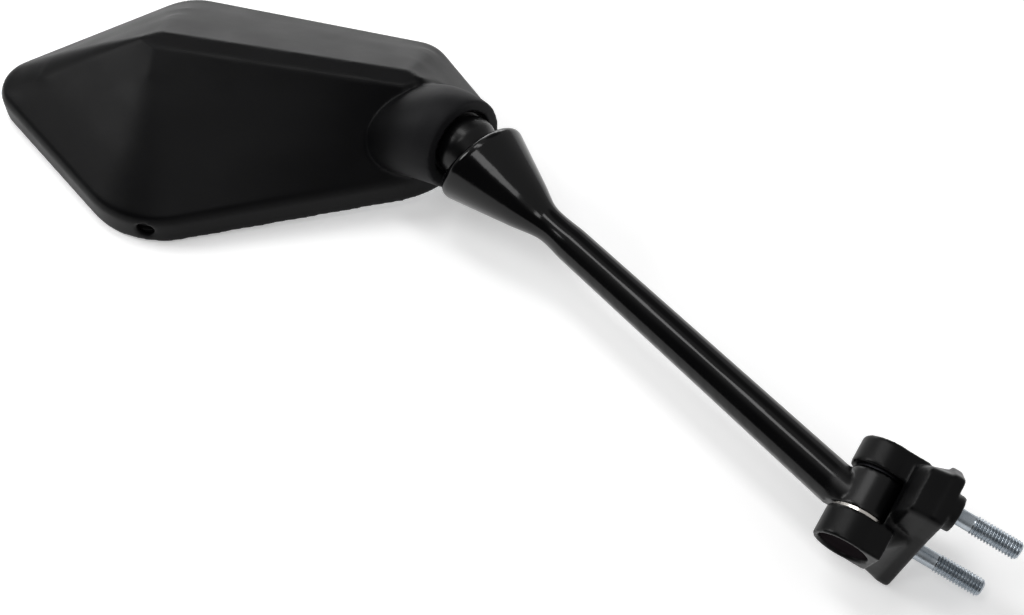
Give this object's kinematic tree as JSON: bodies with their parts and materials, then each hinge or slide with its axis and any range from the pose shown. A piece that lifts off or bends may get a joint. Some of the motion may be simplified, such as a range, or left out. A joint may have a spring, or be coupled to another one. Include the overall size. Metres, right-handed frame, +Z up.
{
  "type": "motorcycle mirror",
  "caption": "Rear-view mirror for a motorcycle fairing: angular black head on a ball joint, tapered stem, and a folding bracket with threaded mounting studs.",
  "frame": {"origin": "middle of the bracket's seat, between the two mounting studs", "axes": "lying glass down on a table as pictured: +X to the right from the head to the bracket, +Y away from the viewer, +Z up from the table"},
  "size_m": [0.3286, 0.2398, 0.047],
  "materials": {
    "bracket_paint": "satin black coating on a casting",
    "stem_paint": "gloss black coating on a casting",
    "zinc": "bright zinc plate",
    "zinc_dark": "black oxide",
    "steel": "bright",
    "steel_dark": "blued",
    "cap_plastic": "satin",
    "bush_plastic": "self-lubricating",
    "seat_plastic": "self-lubricating",
    "housing_plastic": "fine satin grain",
    "carrier_plastic": "plain",
    "foam": "adhesive foam",
    "gasket_rubber": "plain",
    "mirror": "silvered glass"
  },
  "bodies": {
    "bracket": {"mount_bracket": "bracket_paint", "mounting_studs": "zinc", "pivot_bolt": "zinc_dark", "pivot_nut": "zinc", "nut_washer": "zinc", "pivot_cap": "cap_plastic", "thrust_washer": "steel", "wave_washer": "steel_dark"},
    "stem": {"stem": "stem_paint", "pivot_bush": "bush_plastic", "tension_screw": "zinc", "disc_springs": "steel_dark"},
    "slip_washer": {"slip_washer": "steel"},
    "ball_seat": {"ball_seat": "seat_plastic"},
    "head": {"housing": "housing_plastic", "carrier_plate": "carrier_plastic", "carrier_screws": "zinc", "foam_pad": "foam", "mirror_glass": "mirror", "glass_gasket": "gasket_rubber"}
  },
  "joints": [
    {"name": "fold", "type": "hinge", "parent": "bracket", "child": "stem", "pos_m": [-0.01804, 0.00809, 0.00352], "axis": [-0.5031, -0.8264, -0.2528], "range_deg": [-60, 60]},
    {"name": "head_twist", "type": "hinge", "parent": "stem", "child": "slip_washer", "pos_m": [-0.13789, 0.14167, 0.00679], "axis": [0.6066, -0.7625, -0.225], "range_deg": [-40, 40]},
    {"name": "head_tilt", "type": "hinge", "parent": "slip_washer", "child": "ball_seat", "pos_m": [-0.13789, 0.14167, 0.00679], "axis": [0.726, 0.6466, -0.2342], "range_deg": [0, 30]},
    {"name": "head_pan", "type": "hinge", "parent": "ball_seat", "child": "head", "pos_m": [-0.13789, 0.14167, 0.00679], "axis": [-0.055, -0.2848, -0.957], "range_deg": [-6, 6]}
  ]
}
